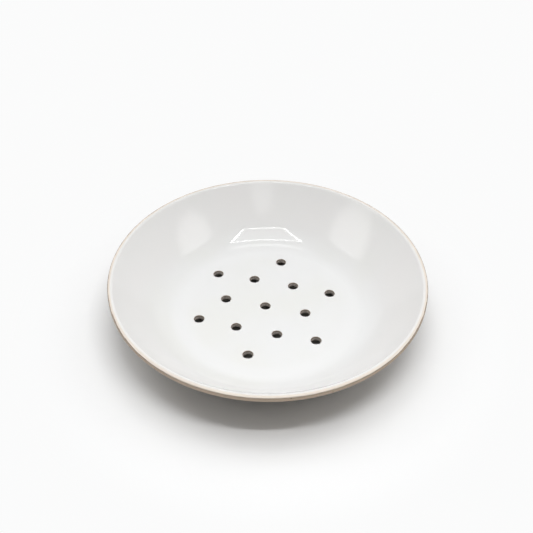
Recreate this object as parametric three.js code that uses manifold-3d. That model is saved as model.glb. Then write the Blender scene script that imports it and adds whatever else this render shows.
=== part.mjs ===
// Berry dish: a shallow round stoneware dish with drain holes through its flat floor.
// The shell and its foot ring are bare clay, and a white glaze coats the inside and rolls over the lip.
// Millimetres, +Z up. The origin is on the dish's axis, on the surface that the foot ring stands on.
import * as THREE from "three";
import { mergeVertices } from "three/addons/utils/BufferGeometryUtils.js";
import Module from "manifold-3d";

// Overall sizes
const RIM_RADIUS = 100; // axis to the outermost face of the rim
const HEIGHT = 39.2; // foot to the top of the glazed lip

// Section of the clay shell
const FLOOR_TO_RIM = 43; // level distance from the edge of the flat inside floor to the rim
const FLOOR_THICKNESS = 2.8; // clay only
const WALL_THICKNESS = 3.8; // clay only
const KNEE_RADIUS = 18; // inside bend at the edge of the floor
const KNEE_TURN = THREE.MathUtils.degToRad(23); // slope where that bend ends
const LOWER_WALL_RADIUS = 42; // wider inside curve above it
const UNDERSIDE_KNEE_RADIUS = 14; // outside bend, tighter, so the clay is thickest there
const WALL_CURVE_RADIUS = 200; // shallow inside curve of the wall up to the lip
const LIP_INNER_RADIUS = 1.5; // edge of the lip over the inside
const LIP_OUTER_RADIUS = 0.8; // its other upper edge, sharper
const LIP_FLAT = 1.1; // level stretch between those edges
const LIP_UNDERSIDE_RADIUS = 1; // edge where the rim's outer face turns under

// Glaze
const GLAZE_THICKNESS = 0.4;
const GLAZE_CLEARANCE = 0.05; // between the glaze and the clay
const GLAZE_END = THREE.MathUtils.degToRad(55); // where it stops on the lip's outer edge, above level
const GLAZE_HOLE_SETBACK = 0.25; // from the edge of a drain hole

// Foot ring
const FOOT_HEIGHT = 5;
const FOOT_INSET = 2.95; // from the edge of the flat underside
const FOOT_WIDTH = 6; // where it is luted to the shell
const FOOT_DRAFT = 0.8; // each side draws in by this much towards the bottom
const FOOT_EDGE_RADIUS = 1;

// Drain holes: one in the middle and two rings around it, the outer ring half a step further round
const HOLE_RADIUS = 3.1;
const HOLES_PER_RING = 6;
const INNER_HOLE_RING = 26.65;
const HOLE_FOOT_MARGIN = 2.8; // least distance from a hole to the foot ring
const HOLE_PATTERN_SHIFT_X = -1.37; // the pattern's middle lies a little off the axis
const HOLE_PATTERN_SHIFT_Y = 3.4;
const HOLE_PATTERN_TURN = THREE.MathUtils.degToRad(-13.6);
const DRILL_OVERSHOOT = 2; // past each face

// Fineness of the surfaces
const TURN_SEGMENTS = 72;
const HOLE_SEGMENTS = 24;
const CHORD_ERROR = 0.04;
const MERGE_DISTANCE = 1e-3;

// Directions in a section, where x is the distance from the axis and y is the height
const LEVEL = 0;
const UP = Math.PI / 2;
const DOWN = -Math.PI / 2;

const wasm = await Module();
wasm.setup();

const point = (radius, height) => new THREE.Vector2(radius, height);
const onCircle = (centre, radius, angle) =>
  point(centre.x + radius * Math.cos(angle), centre.y + radius * Math.sin(angle));
const angleFrom = (centre, target) => Math.atan2(target.y - centre.y, target.x - centre.x);

// Points along an arc of a section, as few as the chord error allows.
function arc(centre, radius, from, to) {
  const step = 2 * Math.acos(1 - CHORD_ERROR / radius);
  const count = Math.max(1, Math.ceil(Math.abs(to - from) / step));
  return Array.from({ length: count + 1 }, (_, i) =>
    onCircle(centre, radius, from + ((to - from) * i) / count));
}

// The upper point where two circles meet.
function circlesMeet(centreA, radiusA, centreB, radiusB) {
  const apart = centreA.distanceTo(centreB);
  const along = (radiusA ** 2 - radiusB ** 2 + apart ** 2) / (2 * apart);
  const aside = Math.sqrt(radiusA ** 2 - along ** 2);
  const direction = centreB.clone().sub(centreA).divideScalar(apart);
  return point(
    centreA.x + along * direction.x - aside * direction.y,
    centreA.y + along * direction.y + aside * direction.x,
  );
}

// The inside of a corner between two straight lines, rounded by an arc.
function roundedCorner(before, corner, after, radius) {
  const toBefore = before.clone().sub(corner).normalize();
  const toAfter = after.clone().sub(corner).normalize();
  const half = Math.acos(toBefore.dot(toAfter)) / 2;
  const bisector = toBefore.clone().add(toAfter).normalize();
  const centre = corner.clone().addScaledVector(bisector, radius / Math.sin(half));
  const reach = radius / Math.tan(half);
  const from = angleFrom(centre, corner.clone().addScaledVector(toBefore, reach));
  const to = angleFrom(centre, corner.clone().addScaledVector(toAfter, reach));
  const turn = Math.atan2(Math.sin(to - from), Math.cos(to - from));
  return arc(centre, radius, from, from + turn);
}

// Levels and centres shared by the sections. Each arc runs smoothly into the next one.
const glazeBuild = GLAZE_CLEARANCE + GLAZE_THICKNESS;
const floorTop = FOOT_HEIGHT + FLOOR_THICKNESS + glazeBuild;
const lipTop = HEIGHT - glazeBuild;
const lipOuter = point(RIM_RADIUS - LIP_OUTER_RADIUS, lipTop - LIP_OUTER_RADIUS);
const lipInner = point(lipOuter.x - LIP_FLAT, lipTop - LIP_INNER_RADIUS);
const knee = point(RIM_RADIUS - FLOOR_TO_RIM, floorTop + KNEE_RADIUS);
const kneeEnd = DOWN + KNEE_TURN;
const lowerWall = onCircle(knee, KNEE_RADIUS - LOWER_WALL_RADIUS, kneeEnd);
const wall = circlesMeet(
  lowerWall,
  WALL_CURVE_RADIUS - LOWER_WALL_RADIUS,
  lipInner,
  WALL_CURVE_RADIUS + LIP_INNER_RADIUS + glazeBuild,
);
const wallStart = angleFrom(wall, lowerWall);
const wallEnd = angleFrom(wall, lipInner);

// Outside of the shell: the same wall curve, one wall's thickness further out, and a tighter bend.
const outerWallRadius = WALL_CURVE_RADIUS + glazeBuild + WALL_THICKNESS;
const outerKneeHeight = FOOT_HEIGHT + UNDERSIDE_KNEE_RADIUS;
const outerKnee = point(
  wall.x + Math.sqrt((outerWallRadius - UNDERSIDE_KNEE_RADIUS) ** 2 - (wall.y - outerKneeHeight) ** 2),
  outerKneeHeight,
);
const underLipRadius = RIM_RADIUS - LIP_UNDERSIDE_RADIUS;
const underLip = point(
  underLipRadius,
  wall.y - Math.sqrt((outerWallRadius - LIP_UNDERSIDE_RADIUS) ** 2 - (underLipRadius - wall.x) ** 2),
);

// Foot ring and hole rings
const footOuterRadius = outerKnee.x - FOOT_INSET;
const footInnerRadius = footOuterRadius - FOOT_WIDTH;
const holePatternMiddle = point(HOLE_PATTERN_SHIFT_X, HOLE_PATTERN_SHIFT_Y);
const outerHoleRing = footInnerRadius - HOLE_FOOT_MARGIN - HOLE_RADIUS - holePatternMiddle.length();

// The inside surface of the dish, lowered by a depth, from the middle of the floor out over the lip.
function insideSurface(depth, lipEnd) {
  const coating = glazeBuild - depth;
  return [
    point(0, floorTop - depth),
    ...arc(knee, KNEE_RADIUS + depth, DOWN, kneeEnd),
    ...arc(lowerWall, LOWER_WALL_RADIUS + depth, kneeEnd, wallStart).slice(1),
    ...arc(wall, WALL_CURVE_RADIUS + depth, wallStart, wallEnd).slice(1),
    ...arc(lipInner, LIP_INNER_RADIUS + coating, wallEnd + Math.PI, UP).slice(1),
    ...arc(lipOuter, LIP_OUTER_RADIUS + coating, UP, lipEnd),
  ];
}

function shellSection() {
  return [
    point(0, FOOT_HEIGHT),
    ...arc(outerKnee, UNDERSIDE_KNEE_RADIUS, DOWN, angleFrom(wall, outerKnee)),
    ...arc(wall, outerWallRadius, angleFrom(wall, outerKnee), angleFrom(wall, underLip)).slice(1),
    ...arc(underLip, LIP_UNDERSIDE_RADIUS, angleFrom(wall, underLip), LEVEL).slice(1),
    ...insideSurface(glazeBuild, LEVEL).reverse(),
  ];
}

function glazeSection() {
  return [...insideSurface(glazeBuild - GLAZE_CLEARANCE, GLAZE_END), ...insideSurface(0, GLAZE_END).reverse()];
}

function footSection() {
  const topOuter = point(footOuterRadius, FOOT_HEIGHT);
  const topInner = point(footInnerRadius, FOOT_HEIGHT);
  const bottomOuter = point(footOuterRadius - FOOT_DRAFT, 0);
  const bottomInner = point(footInnerRadius + FOOT_DRAFT, 0);
  return [
    topInner,
    ...roundedCorner(topInner, bottomInner, bottomOuter, FOOT_EDGE_RADIUS),
    ...roundedCorner(bottomInner, bottomOuter, topOuter, FOOT_EDGE_RADIUS),
    topOuter,
    topInner,
  ];
}

const turned = (section) => new THREE.LatheGeometry(section, TURN_SEGMENTS).rotateX(UP);

function holeCentres() {
  const centres = [holePatternMiddle];
  for (let i = 0; i < HOLES_PER_RING; i += 1) {
    const step = (2 * Math.PI) / HOLES_PER_RING;
    const angle = HOLE_PATTERN_TURN + i * step;
    centres.push(onCircle(holePatternMiddle, INNER_HOLE_RING, angle));
    centres.push(onCircle(holePatternMiddle, outerHoleRing, angle + step / 2));
  }
  return centres;
}

function toSolid(geometry) {
  const bare = geometry.clone();
  bare.deleteAttribute("normal");
  bare.deleteAttribute("uv");
  const merged = mergeVertices(bare, MERGE_DISTANCE);
  const vertProperties = merged.attributes.position.array;
  const triVerts = new Uint32Array(merged.index.array);
  return new wasm.Manifold(new wasm.Mesh({ numProp: 3, vertProperties, triVerts }));
}

function toGeometry(solid) {
  const { vertProperties, triVerts } = solid.getMesh();
  const geometry = new THREE.BufferGeometry();
  geometry.setAttribute("position", new THREE.BufferAttribute(vertProperties, 3));
  geometry.setIndex(new THREE.BufferAttribute(triVerts, 1));
  geometry.computeVertexNormals();
  return geometry;
}

// Drills every drain hole through the floor of a turned piece.
function drilled(geometry, holeRadius) {
  const depth = floorTop - FOOT_HEIGHT + 2 * DRILL_OVERSHOOT;
  const drill = new THREE.CylinderGeometry(holeRadius, holeRadius, depth, HOLE_SEGMENTS).rotateX(UP);
  return toGeometry(
    holeCentres().reduce((solid, centre) => {
      const placed = drill.clone().translate(centre.x, centre.y, (floorTop + FOOT_HEIGHT) / 2);
      return solid.subtract(toSolid(placed));
    }, toSolid(geometry)),
  );
}

const clay = new THREE.MeshStandardMaterial({ color: "#aa9f92", roughness: 0.85, metalness: 0 });
const glaze = new THREE.MeshStandardMaterial({ color: "#e7e7e6", roughness: 0.2, metalness: 0 });

function named(name, geometry, material) {
  const mesh = new THREE.Mesh(geometry, material);
  mesh.name = name;
  return mesh;
}

const dish = new THREE.Group();
dish.add(
  named("clay_shell", drilled(turned(shellSection()), HOLE_RADIUS), clay),
  named("foot_ring", turned(footSection()), clay),
  named("inner_glaze", drilled(turned(glazeSection()), HOLE_RADIUS + GLAZE_HOLE_SETBACK), glaze),
);

export default dish;
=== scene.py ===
"""Berry dish: a shallow stoneware dish, glazed white inside, with drain holes through its flat floor.

Objects are in metres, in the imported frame. Sizes of the dish are in millimetres, and a section's points are
(distance from the axis, height above the table).
"""
import math
import random
from collections import namedtuple

import bpy
from mathutils import Matrix, Quaternion, Vector
from mathutils.geometry import delaunay_2d_cdt


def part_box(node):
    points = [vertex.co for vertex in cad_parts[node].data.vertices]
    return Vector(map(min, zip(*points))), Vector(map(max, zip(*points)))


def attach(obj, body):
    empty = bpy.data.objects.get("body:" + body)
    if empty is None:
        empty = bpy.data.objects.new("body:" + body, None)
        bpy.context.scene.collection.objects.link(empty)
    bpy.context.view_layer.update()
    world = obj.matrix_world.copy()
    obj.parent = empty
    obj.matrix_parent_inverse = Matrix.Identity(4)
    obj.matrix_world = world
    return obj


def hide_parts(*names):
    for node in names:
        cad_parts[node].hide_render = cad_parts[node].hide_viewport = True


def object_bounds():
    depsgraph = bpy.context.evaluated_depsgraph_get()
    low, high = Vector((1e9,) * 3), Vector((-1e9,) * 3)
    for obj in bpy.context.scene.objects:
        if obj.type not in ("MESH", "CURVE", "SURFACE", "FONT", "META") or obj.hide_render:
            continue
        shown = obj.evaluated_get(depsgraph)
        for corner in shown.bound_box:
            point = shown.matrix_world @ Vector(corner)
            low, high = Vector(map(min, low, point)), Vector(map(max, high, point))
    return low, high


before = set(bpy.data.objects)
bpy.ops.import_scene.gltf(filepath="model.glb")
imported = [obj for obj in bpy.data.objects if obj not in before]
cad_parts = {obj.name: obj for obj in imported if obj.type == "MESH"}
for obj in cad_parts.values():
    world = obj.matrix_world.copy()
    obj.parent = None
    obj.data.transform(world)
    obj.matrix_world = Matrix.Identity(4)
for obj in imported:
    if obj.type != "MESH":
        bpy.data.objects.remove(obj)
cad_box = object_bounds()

MM = 0.001
SEED = 11

# Overall sizes and the foot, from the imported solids
RIM_RADIUS = cad_box[1].x / MM
HEIGHT = cad_box[1].z / MM
FOOT_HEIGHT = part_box("foot_ring")[1].z / MM
FOOT_OUTER_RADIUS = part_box("foot_ring")[1].x / MM

# Section of the clay shell and its glaze, as in the solids
FLOOR_TO_RIM = 43.0
FLOOR_THICKNESS = 2.8
WALL_THICKNESS = 3.8
KNEE_RADIUS = 18.0
KNEE_TURN = math.radians(23)
LOWER_WALL_RADIUS = 42.0
UNDERSIDE_KNEE_RADIUS = 14.0
WALL_CURVE_RADIUS = 200.0
LIP_INNER_RADIUS = 1.5
LIP_OUTER_RADIUS = 0.8
LIP_FLAT = 1.1
LIP_UNDERSIDE_RADIUS = 1.0
GLAZE_THICKNESS = 0.4
GLAZE_CLEARANCE = 0.05

# Ends of the glaze, on the lip and at the drain holes
GLAZE_END = math.radians(36)  # on the lip's outer edge, measured up from level
GLAZE_END_WANDER = math.radians(3)
WANDER_WAVES = ((0.5, 3, 0.6), (0.3, 7, 2.1), (0.2, 16, 0.0))  # share, count around the dish and phase
GLAZE_EDGE_THICKNESS = 0.08
GLAZE_HOLE_SETBACK = 0.25
GLAZE_SHOULDER = 0.35  # rounding of the glaze at a drain hole

# How far the glaze has drained off, where 1 lets the clay show through
LIP_INNER_THINNESS = 0.2
LIP_OUTER_THINNESS = 0.55
HOLE_THINNESS = 0.6

# Foot ring
FOOT_WIDTH = 6.0
FOOT_DRAFT = 0.8
FOOT_EDGE_RADIUS = 1.0
LUTING_FILLET = 0.7  # smoothed clay where the ring joins the shell

# Drain holes
HOLE_RADIUS = 3.1
HOLES_PER_RING = 6
INNER_HOLE_RING = 26.65
HOLE_FOOT_MARGIN = 2.8
HOLE_PATTERN_MIDDLE = Vector((-1.37, 3.4))
HOLE_PATTERN_TURN = math.radians(-13.6)
HOLE_EDGE_RADIUS = 0.3
HOLE_UNEVENNESS = 0.05  # how far a hand-cut hole departs from a circle
HOLE_WAVES = ((0.7, 2), (0.3, 3))  # share and count around the hole

# Unevenness of the turned clay: inwards and downwards only, with the foot's underside left level
ROUNDNESS_ERROR = 0.12
ROUNDNESS_WAVES = 2
ROUNDNESS_PHASE = 0.9
RIM_SAG = 0.15
SAG_WAVES = 3
SAG_PHASE = 2.4
TURNING_MARK_DEPTH = 0.05
TURNING_MARK_SPACING = 3.1
TURNING_MARK_DRIFT = 5.0

# Fineness of the meshes
TURN_SEGMENTS = 300
HOLE_SEGMENTS = 40
KNEE_STEPS = 14
LOWER_WALL_STEPS = 18
WALL_STEPS = 24
OUTER_WALL_STEPS = 60
LIP_STEPS = 20
EDGE_STEPS = 6
PLAN_RADIUS = 54.0  # inside this, the floor is meshed around the holes
PLAN_SPACING = 2.4
PLAN_HOLE_RINGS = (0.3, 0.9)  # extra rings of points around each hole
PLAN_OUTPUT = 0  # triangles over the whole plan, holes included
PLAN_EPSILON = 1e-6

LEVEL = 0.0
UP = math.pi / 2
DOWN = -math.pi / 2
FULL_TURN = 2 * math.pi

chance = random.Random(SEED)


# Sections

def on_circle(centre, radius, angle):
    return Vector((centre[0] + radius * math.cos(angle), centre[1] + radius * math.sin(angle)))


def angle_from(centre, target):
    return math.atan2(target[1] - centre[1], target[0] - centre[0])


def arc(centre, radius, start, end, steps):
    return [on_circle(centre, radius, start + (end - start) * i / steps) for i in range(steps + 1)]


def leg(hypotenuse, other):
    """The third side of a right triangle."""
    return math.sqrt(hypotenuse ** 2 - other ** 2)


def circles_meet(centre_a, radius_a, centre_b, radius_b):
    """The upper point where two circles meet."""
    apart = (centre_b - centre_a).length
    along = (radius_a ** 2 - radius_b ** 2 + apart ** 2) / (2 * apart)
    direction = (centre_b - centre_a) / apart
    return centre_a + along * direction + leg(radius_a, along) * Vector((-direction.y, direction.x))


def smooth(x):
    x = min(1.0, max(0.0, x))
    return x * x * (3 - 2 * x)


glaze_build = GLAZE_CLEARANCE + GLAZE_THICKNESS
floor_top = FOOT_HEIGHT + FLOOR_THICKNESS + glaze_build
clay_floor_top = FOOT_HEIGHT + FLOOR_THICKNESS
lip_top = HEIGHT - glaze_build
lip_outer = Vector((RIM_RADIUS - LIP_OUTER_RADIUS, lip_top - LIP_OUTER_RADIUS))
lip_inner = Vector((lip_outer.x - LIP_FLAT, lip_top - LIP_INNER_RADIUS))
knee = Vector((RIM_RADIUS - FLOOR_TO_RIM, floor_top + KNEE_RADIUS))
knee_end = DOWN + KNEE_TURN
lower_wall = on_circle(knee, KNEE_RADIUS - LOWER_WALL_RADIUS, knee_end)
wall = circles_meet(
    lower_wall, WALL_CURVE_RADIUS - LOWER_WALL_RADIUS,
    lip_inner, WALL_CURVE_RADIUS + LIP_INNER_RADIUS + glaze_build,
)
wall_start = angle_from(wall, lower_wall)
wall_end = angle_from(wall, lip_inner)
outer_wall_radius = WALL_CURVE_RADIUS + glaze_build + WALL_THICKNESS
outer_knee_height = FOOT_HEIGHT + UNDERSIDE_KNEE_RADIUS
outer_knee = Vector((
    wall.x + leg(outer_wall_radius - UNDERSIDE_KNEE_RADIUS, wall.y - outer_knee_height),
    outer_knee_height,
))
under_lip_radius = RIM_RADIUS - LIP_UNDERSIDE_RADIUS
under_lip = Vector((
    under_lip_radius,
    wall.y - leg(outer_wall_radius - LIP_UNDERSIDE_RADIUS, under_lip_radius - wall.x),
))
foot_inner_radius = FOOT_OUTER_RADIUS - FOOT_WIDTH
outer_hole_ring = foot_inner_radius - HOLE_FOOT_MARGIN - HOLE_RADIUS - HOLE_PATTERN_MIDDLE.length


def inside_section(depth):
    """The inside from the edge of the flat floor up to the top of the lip, lowered by a depth."""
    lip_radius = LIP_INNER_RADIUS + glaze_build - depth
    return [
        *arc(knee, KNEE_RADIUS + depth, DOWN, knee_end, KNEE_STEPS),
        *arc(lower_wall, LOWER_WALL_RADIUS + depth, knee_end, wall_start, LOWER_WALL_STEPS)[1:],
        *arc(wall, WALL_CURVE_RADIUS + depth, wall_start, wall_end, WALL_STEPS)[1:],
        *arc(lip_inner, lip_radius, wall_end + math.pi, UP, LIP_STEPS)[1:],
    ]


def outside_section():
    """The clay's outside, from the top of the lip down to the flat underside, with its turning marks."""
    start, end = angle_from(wall, under_lip), angle_from(wall, outer_knee)
    wall_points = []
    for i in range(OUTER_WALL_STEPS + 1):
        angle = start + (end - start) * i / OUTER_WALL_STEPS
        travelled = abs(angle - start) * outer_wall_radius
        drift = math.sin(travelled / TURNING_MARK_DRIFT)
        ripple = math.sin(FULL_TURN * travelled / TURNING_MARK_SPACING + drift)
        fade = smooth(i / EDGE_STEPS) * smooth((OUTER_WALL_STEPS - i) / EDGE_STEPS)
        depth = TURNING_MARK_DEPTH * fade * (1 + ripple) / 2
        wall_points.append(on_circle(wall, outer_wall_radius - depth, angle))
    return [
        *arc(lip_outer, LIP_OUTER_RADIUS, UP, LEVEL, LIP_STEPS),
        *arc(under_lip, LIP_UNDERSIDE_RADIUS, LEVEL, start, EDGE_STEPS),
        *wall_points[1:],
        *arc(outer_knee, UNDERSIDE_KNEE_RADIUS, end, DOWN, LOWER_WALL_STEPS)[1:],
    ]


# Meshes

TURN = [FULL_TURN * i / TURN_SEGMENTS for i in range(TURN_SEGMENTS)]


def wander(angle):
    """A slow, closed wave around the dish, from -1 to 1."""
    return sum(share * math.sin(count * angle + phase) for share, count, phase in WANDER_WAVES)


class Hole:
    """One drain hole, cut by hand, so slightly out of round."""

    def __init__(self, centre):
        self.centre = centre
        self.phases = [chance.uniform(0, FULL_TURN) for _ in HOLE_WAVES]

    def radius(self, angle, widening):
        waves = zip(HOLE_WAVES, self.phases)
        oval = sum(share * math.sin(count * angle + phase) for (share, count), phase in waves)
        return HOLE_RADIUS + widening + HOLE_UNEVENNESS * oval

    def outline(self, widening):
        angles = [FULL_TURN * i / HOLE_SEGMENTS for i in range(HOLE_SEGMENTS)]
        return [on_circle(self.centre, self.radius(a, widening), a) for a in angles]

    def covers(self, point, widening):
        reach = self.radius(angle_from(self.centre, point), widening)
        return (point - self.centre).length < reach


def drain_holes():
    found = [Hole(HOLE_PATTERN_MIDDLE)]
    step = FULL_TURN / HOLES_PER_RING
    for i in range(HOLES_PER_RING):
        angle = HOLE_PATTERN_TURN + i * step
        found.append(Hole(on_circle(HOLE_PATTERN_MIDDLE, INNER_HOLE_RING, angle)))
        found.append(Hole(on_circle(HOLE_PATTERN_MIDDLE, outer_hole_ring, angle + step / 2)))
    return found


HOLES = drain_holes()


class Plan:
    """The level part of the floor, seen from above, with an opening for each drain hole."""

    def __init__(self, widening):
        self.rim = list(range(TURN_SEGMENTS))
        points = [on_circle((0, 0), PLAN_RADIUS, a) for a in TURN]
        self.loops = []
        for hole in HOLES:
            self.loops.append(list(range(len(points), len(points) + HOLE_SEGMENTS)))
            points += hole.outline(widening)
        edges = [(loop[i - 1], loop[i]) for loop in [self.rim, *self.loops] for i in range(len(loop))]
        for hole in HOLES:
            for gap in PLAN_HOLE_RINGS:
                points += hole.outline(widening + gap)
        points += self.grid(widening + PLAN_HOLE_RINGS[-1] + PLAN_SPACING / 2)
        placed, _, faces, origins, _, _ = delaunay_2d_cdt(points, edges, [], PLAN_OUTPUT, PLAN_EPSILON)
        self.points = points
        self.faces = []
        for face in faces:
            middle = sum((placed[i] for i in face), Vector((0, 0))) / len(face)
            if not any(hole.covers(middle, widening) for hole in HOLES):
                self.faces.append(tuple(origins[i][0] for i in face))

    @staticmethod
    def grid(clear):
        """Points of an even triangular grid, clear of the holes and of the plan's rim."""
        row_gap = PLAN_SPACING * math.sqrt(3) / 2
        rows = math.ceil(PLAN_RADIUS / row_gap)
        columns = math.ceil(PLAN_RADIUS / PLAN_SPACING) + 1
        found = []
        for row in range(-rows, rows + 1):
            for column in range(-columns, columns + 1):
                point = Vector(((column + row % 2 / 2) * PLAN_SPACING, row * row_gap))
                inside = point.length < PLAN_RADIUS - PLAN_SPACING / 2
                if inside and not any(hole.covers(point, clear) for hole in HOLES):
                    found.append(point)
        return found


class Skin:
    """The points and faces of one closed piece.

    Rings run anticlockwise, seen from above. In a section, the faces look to the left of the way from one
    ring to the next.
    """

    def __init__(self):
        self.points = []
        self.thinness = []
        self.faces = []

    def add(self, points, thinness=0.0):
        first = len(self.points)
        self.points += points
        self.thinness += [thinness] * len(points)
        return list(range(first, len(self.points)))

    def turn(self, point, thinness=0.0):
        """A ring around the axis through a section's point, or through one for each angle."""
        along = point if callable(point) else lambda angle: point
        ring = [along(angle) for angle in TURN]
        placed = [(p[0] * math.cos(a), p[0] * math.sin(a), p[1]) for p, a in zip(ring, TURN)]
        return self.add(placed, thinness)

    def bridge(self, ring, following):
        for i in range(len(ring)):
            self.faces.append((ring[i - 1], following[i - 1], following[i], ring[i]))

    def chain(self, rings):
        for ring, following in zip(rings, rings[1:]):
            self.bridge(ring, following)

    def level(self, plan, height, facing_up):
        """A floor plan at a height. Returns the rings of its rim and holes."""
        placed = self.add([(p.x, p.y, height) for p in plan.points])
        for face in plan.faces:
            corners = [placed[i] for i in face]
            self.faces.append(tuple(corners if facing_up else reversed(corners)))
        return [placed[i] for i in plan.rim], [[placed[i] for i in loop] for loop in plan.loops]

    def line_hole(self, hole, below, steps, above):
        """The wall of a hole between two rings, by steps of (widening, height, thinness)."""
        rings = [below]
        for widening, height, thinness in steps:
            rings.append(self.add([(p.x, p.y, height) for p in hole.outline(widening)], thinness))
        self.chain([*rings, above])


def settled(point):
    """A point of the true shape, moved by the slight unevenness of turning and firing, in metres."""
    x, y, z = point
    angle = math.atan2(y, x)
    reach = (math.hypot(x, y) / RIM_RADIUS) ** 2
    out_of_round = (1 + math.sin(ROUNDNESS_WAVES * angle + ROUNDNESS_PHASE)) / 2
    inward = ROUNDNESS_ERROR * reach * out_of_round
    out_of_level = (1 + math.sin(SAG_WAVES * angle + SAG_PHASE)) / 2
    sag = RIM_SAG * reach * (z / HEIGHT) * out_of_level
    scale = 1 - inward / RIM_RADIUS
    return x * scale * MM, y * scale * MM, (z - sag) * MM


def make_piece(name, skin, node, material):
    mesh = bpy.data.meshes.new(name)
    mesh.from_pydata([settled(p) for p in skin.points], [], skin.faces)
    mesh.polygons.foreach_set("use_smooth", [True] * len(mesh.polygons))
    mesh.attributes.new("thinness", "FLOAT", "POINT").data.foreach_set("value", skin.thinness)
    mesh.materials.append(material)
    mesh.update()
    piece = bpy.data.objects.new(name, mesh)
    bpy.context.scene.collection.objects.link(piece)
    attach(piece, "root")
    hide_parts(node)


def hole_edge(height, start, end):
    """The rounded edge of a hole in the clay, as (widening, height)."""
    return arc((HOLE_EDGE_RADIUS, height), HOLE_EDGE_RADIUS, start, end, EDGE_STEPS)


def clay_shell_skin():
    skin = Skin()
    plan = Plan(HOLE_EDGE_RADIUS)
    top_rim, top_loops = skin.level(plan, clay_floor_top, True)
    bottom_rim, bottom_loops = skin.level(plan, FOOT_HEIGHT, False)
    rings = [skin.turn(p) for p in [*inside_section(glaze_build), *outside_section()]]
    skin.chain([top_rim, *rings, bottom_rim])
    lower = hole_edge(FOOT_HEIGHT + HOLE_EDGE_RADIUS, DOWN, -math.pi)
    upper = hole_edge(clay_floor_top - HOLE_EDGE_RADIUS, math.pi, UP)
    steps = [(p.x, p.y, 0.0) for p in [*lower[1:], *upper[:-1]]]
    for hole, below, above in zip(HOLES, bottom_loops, top_loops):
        skin.line_hole(hole, below, steps, above)
    return skin


def foot_ring_skin():
    skin = Skin()
    top_outer = Vector((FOOT_OUTER_RADIUS, FOOT_HEIGHT))
    top_inner = Vector((foot_inner_radius, FOOT_HEIGHT))
    lean = math.atan2(FOOT_DRAFT, FOOT_HEIGHT)
    outer_edge = Vector((top_outer.x - FOOT_DRAFT - FOOT_EDGE_RADIUS, FOOT_EDGE_RADIUS))
    inner_edge = Vector((top_inner.x + FOOT_DRAFT + FOOT_EDGE_RADIUS, FOOT_EDGE_RADIUS))
    section = [
        *arc(top_outer + Vector((LUTING_FILLET, -LUTING_FILLET)), LUTING_FILLET, UP, math.pi, EDGE_STEPS),
        *arc(outer_edge, FOOT_EDGE_RADIUS, -lean, DOWN, EDGE_STEPS),
        *arc(inner_edge, FOOT_EDGE_RADIUS, DOWN, -math.pi + lean, EDGE_STEPS),
        *arc(top_inner + Vector((-LUTING_FILLET, -LUTING_FILLET)), LUTING_FILLET, LEVEL, UP, EDGE_STEPS),
    ]
    rings = [skin.turn(p) for p in section]
    skin.chain([*rings, rings[0]])
    return skin


def lip_point(share, depth):
    """A point under the glaze's face on the outer lip, that share of the way to its wandering end."""
    def at(angle):
        end = GLAZE_END + GLAZE_END_WANDER * wander(angle)
        return on_circle(lip_outer, LIP_OUTER_RADIUS + glaze_build - depth, UP + (end - UP) * share)
    return at


def inner_glaze_skin():
    skin = Skin()
    setback = GLAZE_HOLE_SETBACK + GLAZE_SHOULDER
    plan = Plan(setback)
    under = floor_top - GLAZE_THICKNESS
    top_rim, top_loops = skin.level(plan, floor_top, True)
    bottom_rim, bottom_loops = skin.level(plan, under, False)

    edge_depth = GLAZE_THICKNESS - GLAZE_EDGE_THICKNESS
    shares = [i / LIP_STEPS for i in range(LIP_STEPS + 1)]
    inside = inside_section(0)
    lip_start = len(inside) - LIP_STEPS - 1
    rings = []
    for i, point in enumerate(inside):
        along_lip = max(0, i - lip_start) / LIP_STEPS
        rings.append(skin.turn(point, LIP_INNER_THINNESS * along_lip))
    for share in shares:
        depth = edge_depth * smooth(2 * share - 1)
        thinness = LIP_OUTER_THINNESS + (1 - LIP_OUTER_THINNESS) * share
        rings.append(skin.turn(lip_point(share, depth), thinness))
    rings += [skin.turn(lip_point(share, GLAZE_THICKNESS), 1.0) for share in reversed(shares)]
    rings += [skin.turn(p) for p in reversed(inside_section(GLAZE_THICKNESS))]
    skin.chain([top_rim, *rings, bottom_rim])

    shoulder = arc((setback, floor_top - GLAZE_SHOULDER), GLAZE_SHOULDER, math.pi, UP, EDGE_STEPS)
    steps = [(GLAZE_HOLE_SETBACK, under, HOLE_THINNESS)]
    steps += [(p.x, p.y, HOLE_THINNESS * (1 - i / EDGE_STEPS)) for i, p in enumerate(shoulder[:-1])]
    for hole, below, above in zip(HOLES, bottom_loops, top_loops):
        skin.line_hole(hole, below, steps, above)
    return skin


# Materials

Grain = namedtuple("Grain", "scale detail roughness", defaults=(2.0, 0.5))  # of a noise

RISE = (0.0, 1.0)
FALL = (1.0, 0.0)
MIDDLE_NOISE = (0.35, 0.65)  # spans of a noise's values
USUAL_NOISE = (0.3, 0.7)
WIDE_NOISE = (0.25, 0.75)
MIX_FIRST_COLOUR = 6  # places of a mix node's colour sockets
MIX_SECOND_COLOUR = 7
MIX_COLOUR_RESULT = 2

# Lines around the axis that turning leaves
LINE_DRIFT = Grain(12.0)
LINE_DRIFT_SHARE = 0.4  # of the spacing
LINE_DETAIL = 3.0
LINE_ROUGHNESS = 0.6

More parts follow.
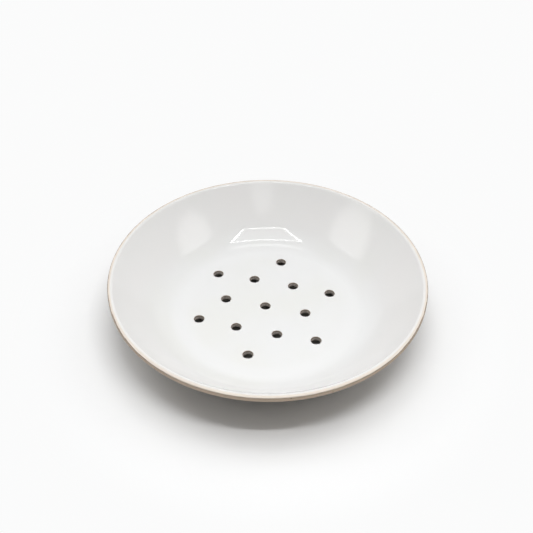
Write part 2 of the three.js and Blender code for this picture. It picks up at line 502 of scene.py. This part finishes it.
# Glaze on the floor and the wall, with spans of distance from the axis
GLAZE_CLOUD = Grain(22.0, 3.0)
GLAZE_WARM_WHITE = (0.695, 0.697, 0.678, 1)
GLAZE_COOL_WHITE = (0.705, 0.708, 0.705, 1)
GLAZE_POOLED = (0.714, 0.717, 0.714, 1)
POOL_RISE = (46.0, 56.0)
POOL_FALL = (57.0, 66.0)
GLAZE_BLUSH = (0.705, 0.695, 0.684, 1)
BLUSH_RISE = (62.0, 84.0)
BLUSH_SHARE = (0.5, 1.0)
GLAZE_GLOSS = Grain(90.0, 4.0)
GLAZE_ROUGHNESS = (0.03, 0.05)
GLAZE_IOR = 1.5
GLAZE_SKIN = Grain(260.0)
GLAZE_SKIN_DEPTH = 0.002
GLAZE_LINE_SPACING = 3.4
GLAZE_LINE_DEPTH = 0.01
GLAZE_LINES_RISE = (66.0, 80.0)
GLAZE_LINES_FALL = (84.0, 92.0)

# Glaze that has drained off, at the rim and the holes, with spans of how far
GLAZE_PATCHES = Grain(160.0, 3.0)
PATCH_SHARE = (0.85, 1.0)
FRONT_REACH = (-98.0, -30.0)  # from the front towards the middle
FRONT_COVER = (0.3, 0.0)  # the front keeps more of its glaze
GLAZE_THIN = (0.67, 0.60, 0.525, 1)
THIN_SPAN = (0.1, 0.45)
GLAZE_WORN = (0.26, 0.195, 0.145, 1)
WORN_SPAN = (0.56, 0.68)

# Bare clay, with spans of height
CLAY_MOTTLE = Grain(70.0, 5.0, 0.6)
CLAY_DARK = (0.34, 0.30, 0.25, 1)
CLAY_PALE = (0.44, 0.385, 0.32, 1)
CLAY_LINE = (0.28, 0.245, 0.20, 1)
CLAY_LINE_SHARE = (0.0, 0.35)
CLAY_LINE_SPACING = 1.6
CLAY_LINE_DEPTH = 0.05
# Painted shade: the bare clay darkens towards the foot and the underside, deepening the shade under the dish
CLAY_SHADE_AT_FOOT = (0.115, 0.10, 0.085, 1)
FOOT_SHADE_SPAN = (24.0, 4.0)
FOOT_SHADE_SHARE = (0.0, 0.6)
CLAY_TOASTED = (0.50, 0.395, 0.30, 1)
TOAST_SPAN = (31.0, 37.5)
TOAST_SHARE = (0.7, 1.0)
CLAY_RIM_EDGE = (0.40, 0.305, 0.225, 1)
RIM_EDGE_SPAN = (37.3, 38.0)
CLAY_CUT = (0.50, 0.46, 0.42, 1)
CUT_FROM = 5.1
# Painted shade: the top edge of each drain hole is near black, so the hole reads dark
CLAY_HOLE_EDGE_SHADE = (0.13, 0.10, 0.08, 1)
HOLE_EDGE_SHADE_SPAN = (7.1, 7.5)
CLAY_ROUGHNESS = (0.72, 0.9)
CLAY_SPECULAR = 0.3

# Dark specks and pale grit in the clay
CLAY_SPECK = (0.10, 0.07, 0.05, 1)
SPECK_CELLS = 520.0
SPECK_CHANCE = (0.90, 0.92)
SPECK_FADE = (0.18, 0.34)
SPECK_SHARE = 0.7
CLAY_GRIT = (0.58, 0.51, 0.43, 1)
GRIT_GRAIN = Grain(1500.0, 4.0, 0.7)
GRIT_SPAN = (0.45, 0.75)
GRIT_SHARE = (0.0, 0.3)
GRIT_DEPTH = 0.06


def add(tree, kind, inputs, **settings):
    """A shader node with its settings, and its inputs set to values or joined to other nodes' outputs."""
    made = tree.nodes.new("ShaderNode" + kind)
    for key, value in settings.items():
        setattr(made, key, value)
    for key, value in inputs.items():
        if isinstance(value, bpy.types.NodeSocket):
            tree.links.new(value, made.inputs[key])
        else:
            made.inputs[key].default_value = value
    return made


def math_node(tree, operation, *values):
    return add(tree, "Math", dict(enumerate(values)), operation=operation).outputs[0]


def product(tree, first, second):
    return math_node(tree, "MULTIPLY", first, second)


def noise(tree, vector, grain):
    inputs = {"Vector": vector, "Scale": grain.scale, "Detail": grain.detail, "Roughness": grain.roughness}
    return add(tree, "TexNoise", inputs).outputs["Fac"]


def ramp(tree, value, span, to=RISE):
    """Maps a span of values to another span, eased and held at the ends."""
    inputs = {"Value": value, "From Min": span[0], "From Max": span[1], "To Min": to[0], "To Max": to[1]}
    return add(tree, "MapRange", inputs, interpolation_type="SMOOTHSTEP").outputs["Result"]


def ramp_mm(tree, length, span, to=RISE):
    """As ramp, with the span in millimetres."""
    return ramp(tree, length, (span[0] * MM, span[1] * MM), to)


def band_mm(tree, length, rise, fall):
    """Rises to 1 over one span in millimetres and falls back over another."""
    return product(tree, ramp_mm(tree, length, rise), ramp_mm(tree, length, fall, FALL))


def blend(tree, share, first, second):
    inputs = {"Factor": share, MIX_FIRST_COLOUR: first, MIX_SECOND_COLOUR: second}
    return add(tree, "Mix", inputs, data_type="RGBA").outputs[MIX_COLOUR_RESULT]


def bump(tree, height, depth, normal=None):
    """A normal that makes a height visible, with the depth in millimetres."""
    inputs = {"Height": height, "Distance": depth * MM}
    if normal is not None:
        inputs["Normal"] = normal
    return add(tree, "Bump", inputs).outputs["Normal"]


def new_material(name):
    material = bpy.data.materials.new(name)
    material.use_nodes = True
    tree = material.node_tree
    tree.nodes.clear()
    place = add(tree, "TexCoord", {}).outputs["Object"]
    return material, tree, place


def from_axis(tree, place):
    """Distance from the dish's axis, and height."""
    parts = add(tree, "SeparateXYZ", {"Vector": place}).outputs
    flat = add(tree, "CombineXYZ", {"X": parts["X"], "Y": parts["Y"]}).outputs[0]
    radius = add(tree, "VectorMath", {0: flat}, operation="LENGTH").outputs["Value"]
    return radius, parts["Z"]


def turning_lines(tree, place, spacing):
    """Fine uneven lines around the axis, with the spacing in millimetres."""
    radius, height = from_axis(tree, place)
    drift = noise(tree, place, LINE_DRIFT)
    radius = math_node(tree, "MULTIPLY_ADD", drift, LINE_DRIFT_SHARE * spacing * MM, radius)
    section = add(tree, "CombineXYZ", {"X": radius, "Y": height}).outputs[0]
    return noise(tree, section, Grain(1 / (spacing * MM), LINE_DETAIL, LINE_ROUGHNESS))


def finish_material(tree, shader):
    add(tree, "OutputMaterial", {"Surface": shader.outputs[0]})


def glaze_material():
    material, tree, place = new_material("white_glaze")
    radius, _ = from_axis(tree, place)
    cloud = noise(tree, place, GLAZE_CLOUD)
    white = blend(tree, ramp(tree, cloud, MIDDLE_NOISE), GLAZE_WARM_WHITE, GLAZE_COOL_WHITE)
    white = blend(tree, band_mm(tree, radius, POOL_RISE, POOL_FALL), white, GLAZE_POOLED)
    blush = product(tree, ramp_mm(tree, radius, BLUSH_RISE), ramp(tree, cloud, USUAL_NOISE, BLUSH_SHARE))
    white = blend(tree, blush, white, GLAZE_BLUSH)

    thin = add(tree, "Attribute", {}, attribute_name="thinness").outputs["Fac"]
    patches = ramp(tree, noise(tree, place, GLAZE_PATCHES), USUAL_NOISE, PATCH_SHARE)
    shown = product(tree, thin, patches)
    across = add(tree, "SeparateXYZ", {"Vector": place}).outputs["Y"]
    drained = math_node(tree, "SUBTRACT", shown, ramp_mm(tree, across, FRONT_REACH, FRONT_COVER))
    colour = blend(tree, ramp(tree, shown, THIN_SPAN), white, GLAZE_THIN)
    colour = blend(tree, ramp(tree, drained, WORN_SPAN), colour, GLAZE_WORN)

    gloss = ramp(tree, noise(tree, place, GLAZE_GLOSS), USUAL_NOISE, GLAZE_ROUGHNESS)
    skin = bump(tree, noise(tree, place, GLAZE_SKIN), GLAZE_SKIN_DEPTH)
    on_wall = band_mm(tree, radius, GLAZE_LINES_RISE, GLAZE_LINES_FALL)
    lines = product(tree, turning_lines(tree, place, GLAZE_LINE_SPACING), on_wall)
    normal = bump(tree, lines, GLAZE_LINE_DEPTH, skin)
    finish_material(tree, add(tree, "BsdfPrincipled", {
        "Base Color": colour, "Roughness": gloss, "Normal": normal, "IOR": GLAZE_IOR,
    }))
    return material


def clay_material():
    material, tree, place = new_material("bare_stoneware")
    radius, height = from_axis(tree, place)
    mottle = noise(tree, place, CLAY_MOTTLE)
    colour = blend(tree, ramp(tree, mottle, USUAL_NOISE), CLAY_DARK, CLAY_PALE)
    lines = turning_lines(tree, place, CLAY_LINE_SPACING)
    colour = blend(tree, ramp(tree, lines, MIDDLE_NOISE, CLAY_LINE_SHARE), colour, CLAY_LINE)
    # painted shade, darker towards the foot
    colour = blend(tree, ramp_mm(tree, height, FOOT_SHADE_SPAN, FOOT_SHADE_SHARE), colour, CLAY_SHADE_AT_FOOT)
    uneven = ramp(tree, mottle, WIDE_NOISE, TOAST_SHARE)
    colour = blend(tree, product(tree, ramp_mm(tree, height, TOAST_SPAN), uneven), colour, CLAY_TOASTED)
    colour = blend(tree, ramp_mm(tree, height, RIM_EDGE_SPAN), colour, CLAY_RIM_EDGE)

    above_underside = math_node(tree, "GREATER_THAN", height, CUT_FROM * MM)
    within_floor = math_node(tree, "LESS_THAN", radius, PLAN_RADIUS * MM)
    # the cut clay's own paler colour, with painted shade near black on the top edge of each hole
    cut = blend(tree, ramp_mm(tree, height, HOLE_EDGE_SHADE_SPAN), CLAY_CUT, CLAY_HOLE_EDGE_SHADE)
    colour = blend(tree, product(tree, above_underside, within_floor), colour, cut)

    cells = add(tree, "TexVoronoi", {"Vector": place, "Scale": SPECK_CELLS}).outputs
    drawn = add(tree, "SeparateColor", {"Color": cells["Color"]}).outputs[0]
    spot = ramp(tree, cells["Distance"], SPECK_FADE, FALL)
    speck = product(tree, spot, ramp(tree, drawn, SPECK_CHANCE))
    colour = blend(tree, product(tree, speck, SPECK_SHARE), colour, CLAY_SPECK)
    grit = noise(tree, place, GRIT_GRAIN)
    colour = blend(tree, ramp(tree, grit, GRIT_SPAN, GRIT_SHARE), colour, CLAY_GRIT)

    normal = bump(tree, lines, CLAY_LINE_DEPTH, bump(tree, grit, GRIT_DEPTH))
    rough = ramp(tree, mottle, USUAL_NOISE, CLAY_ROUGHNESS)
    finish_material(tree, add(tree, "BsdfPrincipled", {
        "Base Color": colour, "Roughness": rough, "Normal": normal, "Specular IOR Level": CLAY_SPECULAR,
    }))
    return material


CLAY = clay_material()
make_piece("clay_shell_visual", clay_shell_skin(), "clay_shell", CLAY)
make_piece("foot_ring_visual", foot_ring_skin(), "foot_ring", CLAY)
make_piece("inner_glaze_visual", inner_glaze_skin(), "inner_glaze", glaze_material())


# Stage, light and camera, with sizes in metres

Panel = namedtuple("Panel", "place width height roll radiance")

STAGE_RADIUS = 6.0
STAGE_SEGMENTS = 96
TABLE_GRAIN = Grain(9.0, 3.0)
TABLE_DIM = (0.85, 0.856, 0.86, 1)
TABLE_BRIGHT = (0.865, 0.87, 0.873, 1)
WHITE_SPAN = (0.106, 0.165)  # distance from the axis, while the table turns plain white for the camera
PLAIN_WHITE = (0.965, 0.967, 0.967, 1)

LAMP_HEIGHT = 0.608
LAMP_CENTRE = Vector((0.017, -0.109))
LAMP_FRONT_HALF_WIDTH = 0.137
LAMP_BACK_HALF_WIDTH = 0.156
LAMP_HALF_DEPTH = 0.127
LAMP_STRIP_WIDTH = 0.013
LAMP_TURN = math.radians(5.4)
LAMP_RADIANCES = (14.0, 20.0, 11.0, 13.0)  # front, right, back, left
LAMP_DIFFUSER_RADIANCE = 0.8
KEY_X = 0.06
KEY_WIDTH = 0.0165
KEY_RADIANCE = 60.0

SIDE_ROLL = 0.33
PANELS = (
    Panel(Vector((0.2245, 0.0133, 0.3006)), 0.213, 0.115, -SIDE_ROLL, 2.0),  # on the right
    Panel(Vector((-0.243, 0.0218, 0.288)), 0.235, 0.135, SIDE_ROLL, 2.0),  # on the left
    Panel(Vector((0.045, -0.43, 0.60)), 0.20, 0.20, 0.0, 1.3),  # above the camera
    Panel(Vector((0.0, 0.15, 0.60)), 0.32, 0.15, 0.0, 2.4),  # behind the lamp frame
)
PANEL_AIM = Vector((0.0, 0.0, 0.02))
PANEL_MIDDLE = (0.5, 0.5, 0.0)
PANEL_FADE = (0.27, 0.5)  # distance from the middle, as a share of a panel's size

# The world's level, by spans of a direction's x, y or z
WORLD_DEPTH = ((-0.5, 0.7), (0.01, 0.58))  # from the front to the back
WORLD_RIGHT = ((0.2, 0.9), (0.0, 0.66))
WORLD_LEFT = ((-0.9, -0.2), (0.62, 0.0))
WORLD_RISE = ((0.0, 0.4), (0.15, 1.0))  # share of these, from the horizon up
WORLD_TOP = ((0.88, 0.98), (0.0, 1.75))

CAMERA_PLACE = Vector((0.0, -0.41441, 0.41658))
CAMERA_TARGET = Vector((-0.00093, 0.04184, 0.00825))
CAMERA_ROLL = math.radians(0.486)
CAMERA_LENS = 60.36
CAMERA_SENSOR = 36.0


def aimed(place, target, roll):
    """A turn that looks from a place to a target."""
    return (target - place).to_track_quat("-Z", "Y") @ Quaternion((0, 0, 1), roll)


def seen_directly(tree):
    """1 for camera, glossy and transmission rays."""
    rays = add(tree, "LightPath", {}).outputs
    direct = math_node(tree, "MAXIMUM", rays["Is Camera Ray"], rays["Is Glossy Ray"])
    return math_node(tree, "MAXIMUM", direct, rays["Is Transmission Ray"])


def make_stage():
    mesh = bpy.data.meshes.new("table")
    ring = [FULL_TURN * i / STAGE_SEGMENTS for i in range(STAGE_SEGMENTS)]
    corners = [(*on_circle((0, 0), STAGE_RADIUS, a), 0.0) for a in ring]
    mesh.from_pydata(corners, [], [range(STAGE_SEGMENTS)])
    material, tree, place = new_material("pale_table")
    radius, _ = from_axis(tree, place)
    tint = ramp(tree, noise(tree, place, TABLE_GRAIN), USUAL_NOISE)
    lit = add(tree, "BsdfDiffuse", {"Color": blend(tree, tint, TABLE_DIM, TABLE_BRIGHT)})
    plain = add(tree, "Emission", {"Color": PLAIN_WHITE})
    share = product(tree, ramp(tree, radius, WHITE_SPAN), seen_directly(tree))
    finish_material(tree, add(tree, "MixShader", {0: share, 1: lit.outputs[0], 2: plain.outputs[0]}))
    mesh.materials.append(material)
    table = bpy.data.objects.new("table", mesh)
    bpy.context.scene.collection.objects.link(table)


def area_lamp(name, place, width, depth, radiance):
    """A rectangular lamp that looks down and that the camera doesn't see."""
    light = bpy.data.lights.new(name, "AREA")
    light.shape = "RECTANGLE"
    light.size = width
    light.size_y = depth
    light.energy = radiance * math.pi * width * depth
    lamp = bpy.data.objects.new(name, light)
    lamp.location = place
    lamp.visible_camera = False
    bpy.context.scene.collection.objects.link(lamp)
    return lamp


def make_lamp_frame():
    """A four-sided frame of light strips overhead, with a dim diffuser inside it and a strong key strip."""
    corners = [
        Vector((-LAMP_FRONT_HALF_WIDTH, -LAMP_HALF_DEPTH)),
        Vector((LAMP_FRONT_HALF_WIDTH, -LAMP_HALF_DEPTH)),
        Vector((LAMP_BACK_HALF_WIDTH, LAMP_HALF_DEPTH)),
        Vector((-LAMP_BACK_HALF_WIDTH, LAMP_HALF_DEPTH)),
    ]
    for corner in corners:
        corner.rotate(Matrix.Rotation(LAMP_TURN, 2))
    for i, radiance in enumerate(LAMP_RADIANCES):
        along = corners[(i + 1) % len(corners)] - corners[i]
        place = (*(LAMP_CENTRE + corners[i] + along / 2), LAMP_HEIGHT)
        strip = area_lamp(f"lamp_strip_{i}", place, along.length, LAMP_STRIP_WIDTH, radiance)
        strip.rotation_euler.z = math.atan2(along.y, along.x)
    width = LAMP_FRONT_HALF_WIDTH + LAMP_BACK_HALF_WIDTH
    place = (*LAMP_CENTRE, LAMP_HEIGHT)
    diffuser = area_lamp("lamp_diffuser", place, width, 2 * LAMP_HALF_DEPTH, LAMP_DIFFUSER_RADIANCE)
    diffuser.rotation_euler.z = LAMP_TURN
    place = (KEY_X, LAMP_CENTRE.y - LAMP_HALF_DEPTH, LAMP_HEIGHT)
    key = area_lamp("key_strip", place, width, KEY_WIDTH, KEY_RADIANCE)
    key.visible_glossy = False


def make_panels():
    """Soft panels, brightest in the middle."""
    for i, panel in enumerate(PANELS):
        lamp = area_lamp(f"soft_panel_{i}", panel.place, panel.width, panel.height, panel.radiance)
        lamp.rotation_mode = "QUATERNION"
        lamp.rotation_quaternion = aimed(panel.place, PANEL_AIM, panel.roll)
        lamp.data.use_nodes = True
        tree = lamp.data.node_tree
        tree.nodes.clear()
        across = add(tree, "NewGeometry", {}).outputs["Parametric"]
        away = add(tree, "VectorMath", {0: across, 1: PANEL_MIDDLE}, operation="DISTANCE").outputs["Value"]
        glow = add(tree, "Emission", {"Strength": ramp(tree, away, PANEL_FADE, FALL)})
        add(tree, "OutputLight", {"Surface": glow.outputs[0]})


def make_world():
    """Dim towards the front and bright towards the back, and plain white where it is seen."""
    world = bpy.data.worlds.new("studio")
    world.use_nodes = True
    tree = world.node_tree
    tree.nodes.clear()
    direction = add(tree, "TexCoord", {}).outputs["Generated"]
    toward = add(tree, "SeparateXYZ", {"Vector": direction}).outputs
    right = ramp(tree, toward["X"], *WORLD_RIGHT)
    left = ramp(tree, toward["X"], *WORLD_LEFT)
    depth = ramp(tree, toward["Y"], *WORLD_DEPTH)
    level = math_node(tree, "ADD", depth, math_node(tree, "ADD", right, left))
    level = product(tree, level, ramp(tree, toward["Z"], *WORLD_RISE))
    level = math_node(tree, "ADD", level, ramp(tree, toward["Z"], *WORLD_TOP))
    soft = add(tree, "Background", {"Color": (1, 1, 1, 1), "Strength": level})
    white = add(tree, "Background", {"Color": PLAIN_WHITE, "Strength": 1.0})
    mixed = add(tree, "MixShader", {0: seen_directly(tree), 1: soft.outputs[0], 2: white.outputs[0]})
    add(tree, "OutputWorld", {"Surface": mixed.outputs[0]})
    bpy.context.scene.world = world


def make_camera():
    data = bpy.data.cameras.new("camera")
    data.sensor_width = CAMERA_SENSOR
    data.lens = CAMERA_LENS
    camera = bpy.data.objects.new("camera", data)
    camera.location = CAMERA_PLACE
    camera.rotation_mode = "QUATERNION"
    camera.rotation_quaternion = aimed(CAMERA_PLACE, CAMERA_TARGET, CAMERA_ROLL)
    bpy.context.scene.collection.objects.link(camera)
    bpy.context.scene.camera = camera


make_stage()
make_lamp_frame()
make_panels()
make_world()
make_camera()
bpy.context.scene.view_settings.view_transform = "Standard"
